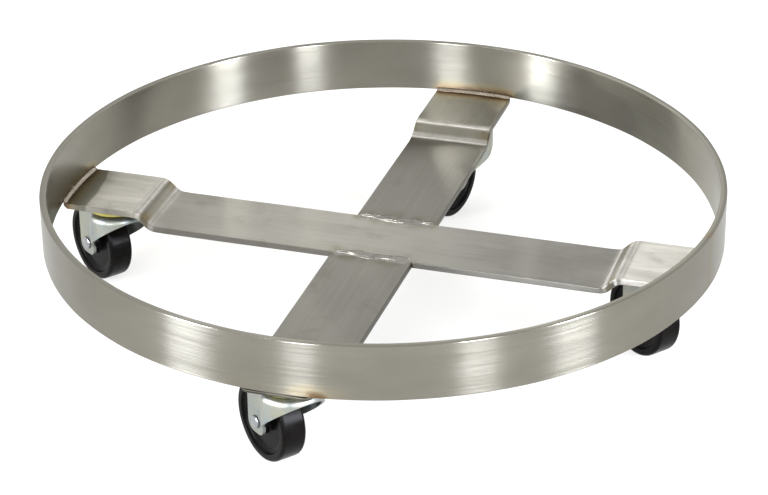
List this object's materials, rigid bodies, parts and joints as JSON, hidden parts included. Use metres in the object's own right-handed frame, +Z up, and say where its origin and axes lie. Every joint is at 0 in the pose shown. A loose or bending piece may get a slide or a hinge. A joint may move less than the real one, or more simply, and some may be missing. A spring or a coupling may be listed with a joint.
{
  "type": "drum dolly",
  "caption": "Low round dolly for moving a drum: a flat-bar hoop welded to a joggled cross of flat bars, with a free swivel caster under each raised pad.",
  "frame": {"origin": "centre of the hoop at the level of its lower edge, which is the seat plane of the four raised pads; the floor is 0.100 m below", "axes": "+Z up, +X along the one-piece bar towards the right caster, +Y along the cross bar towards the rear caster"},
  "size_m": [0.626, 0.61, 0.15],
  "materials": {
    "stainless": "brushed",
    "weld_metal": "as-welded",
    "bright_zinc": "bright zinc plate",
    "yellow_zinc": "yellow passivated zinc plate",
    "bearing_steel": "polished",
    "black_wheel": "satin moulded"
  },
  "bodies": {
    "frame": {"ring": "stainless", "ring_seam_weld": "weld_metal", "bar_long": "stainless", "bar_rear": "stainless", "bar_front": "stainless", "centre_weld_rear": "weld_metal", "centre_weld_front": "weld_metal", "plate_welds": "weld_metal", "pad_weld_right": "weld_metal", "pad_weld_rear": "weld_metal", "pad_weld_left": "weld_metal", "pad_weld_front": "weld_metal", "caster_plate_right": "bright_zinc", "caster_plate_rear": "bright_zinc", "caster_plate_left": "bright_zinc", "caster_plate_front": "bright_zinc", "race_cup_right": "yellow_zinc", "race_cup_rear": "yellow_zinc", "race_cup_left": "yellow_zinc", "race_cup_front": "yellow_zinc", "kingpin_right": "bright_zinc", "kingpin_rear": "bright_zinc", "kingpin_left": "bright_zinc", "kingpin_front": "bright_zinc", "lower_washer_right": "bright_zinc", "lower_washer_rear": "bright_zinc", "lower_washer_left": "bright_zinc", "lower_washer_front": "bright_zinc"},
    "fork_right": {"race_balls_right": "bearing_steel", "lower_balls_right": "bearing_steel", "fork_right": "bright_zinc", "axle_bolt_right": "bright_zinc", "axle_nut_right": "bright_zinc", "wheel_sleeve_right": "bearing_steel"},
    "wheel_right": {"wheel_right": "black_wheel"},
    "fork_rear": {"race_balls_rear": "bearing_steel", "lower_balls_rear": "bearing_steel", "fork_rear": "bright_zinc", "axle_bolt_rear": "bright_zinc", "axle_nut_rear": "bright_zinc", "wheel_sleeve_rear": "bearing_steel"},
    "wheel_rear": {"wheel_rear": "black_wheel"},
    "fork_left": {"race_balls_left": "bearing_steel", "lower_balls_left": "bearing_steel", "fork_left": "bright_zinc", "axle_bolt_left": "bright_zinc", "axle_nut_left": "bright_zinc", "wheel_sleeve_left": "bearing_steel"},
    "wheel_left": {"wheel_left": "black_wheel"},
    "fork_front": {"race_balls_front": "bearing_steel", "lower_balls_front": "bearing_steel", "fork_front": "bright_zinc", "axle_bolt_front": "bright_zinc", "axle_nut_front": "bright_zinc", "wheel_sleeve_front": "bearing_steel"},
    "wheel_front": {"wheel_front": "black_wheel"}
  },
  "joints": [
    {"name": "swivel_right", "type": "hinge", "parent": "frame", "child": "fork_right", "pos_m": [0.261, 0, -0.02], "axis": [0, 0, 1], "continuous": true},
    {"name": "swivel_rear", "type": "hinge", "parent": "frame", "child": "fork_rear", "pos_m": [0, 0.261, -0.02], "axis": [0, 0, 1], "continuous": true},
    {"name": "swivel_left", "type": "hinge", "parent": "frame", "child": "fork_left", "pos_m": [-0.261, 0, -0.02], "axis": [0, 0, 1], "continuous": true},
    {"name": "swivel_front", "type": "hinge", "parent": "frame", "child": "fork_front", "pos_m": [0, -0.261, -0.02], "axis": [0, 0, 1], "continuous": true},
    {"name": "roll_right", "type": "hinge", "parent": "fork_right", "child": "wheel_right", "pos_m": [0.2373, 0.01919, -0.0625], "axis": [-0.6293, -0.7771, 0], "continuous": true},
    {"name": "roll_rear", "type": "hinge", "parent": "fork_rear", "child": "wheel_rear", "pos_m": [-0.00841, 0.23168, -0.0625], "axis": [0.9613, -0.2756, 0], "continuous": true},
    {"name": "roll_left", "type": "hinge", "parent": "fork_left", "child": "wheel_left", "pos_m": [-0.28536, 0.01835, -0.0625], "axis": [-0.6018, -0.7986, 0], "continuous": true},
    {"name": "roll_front", "type": "hinge", "parent": "fork_front", "child": "wheel_front", "pos_m": [-0.0237, -0.24181, -0.0625], "axis": [-0.6293, -0.7771, 0], "continuous": true}
  ]
}
